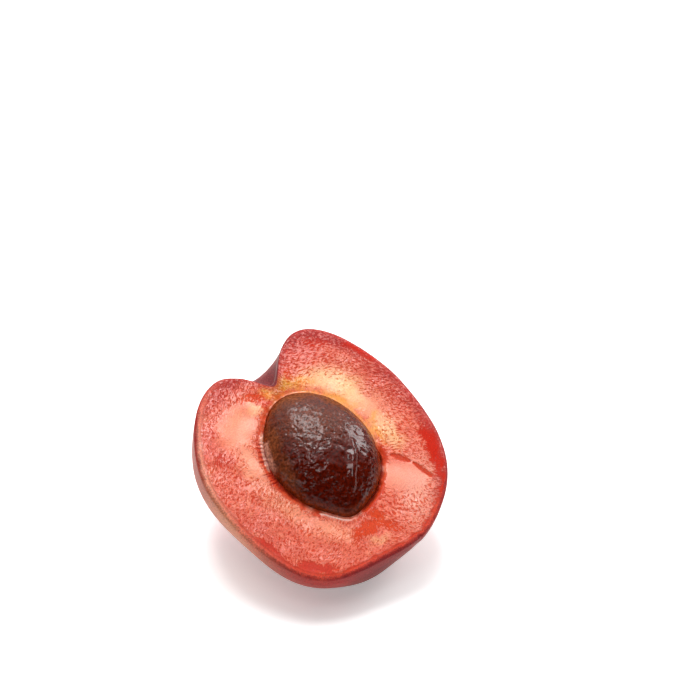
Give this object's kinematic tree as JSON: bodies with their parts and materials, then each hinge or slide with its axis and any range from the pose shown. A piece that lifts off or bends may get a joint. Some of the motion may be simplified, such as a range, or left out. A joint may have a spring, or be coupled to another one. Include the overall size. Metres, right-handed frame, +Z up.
{
  "type": "halved plum",
  "caption": "Halved plum lying on its rounded back, wet cut face up and tipped forward, with the bare stone in its pocket and a notch where the stem sat.",
  "frame": {"origin": "middle of the small pressed flat the half rests on", "axes": "+Z up from the flat; the cut face looks up, tipped about 26 degrees towards -Y and a little towards +X; the stem notch is at the back left"},
  "size_m": [0.0483, 0.0493, 0.032],
  "materials": {
    "flesh": "wet salmon-red cut flesh, with a matt downy red skin on the back",
    "stone": "dark brown pitted fruit stone, wet and glossy"
  },
  "bodies": {
    "root": {"plum_half": "flesh", "stone": "stone"}
  },
  "joints": []
}
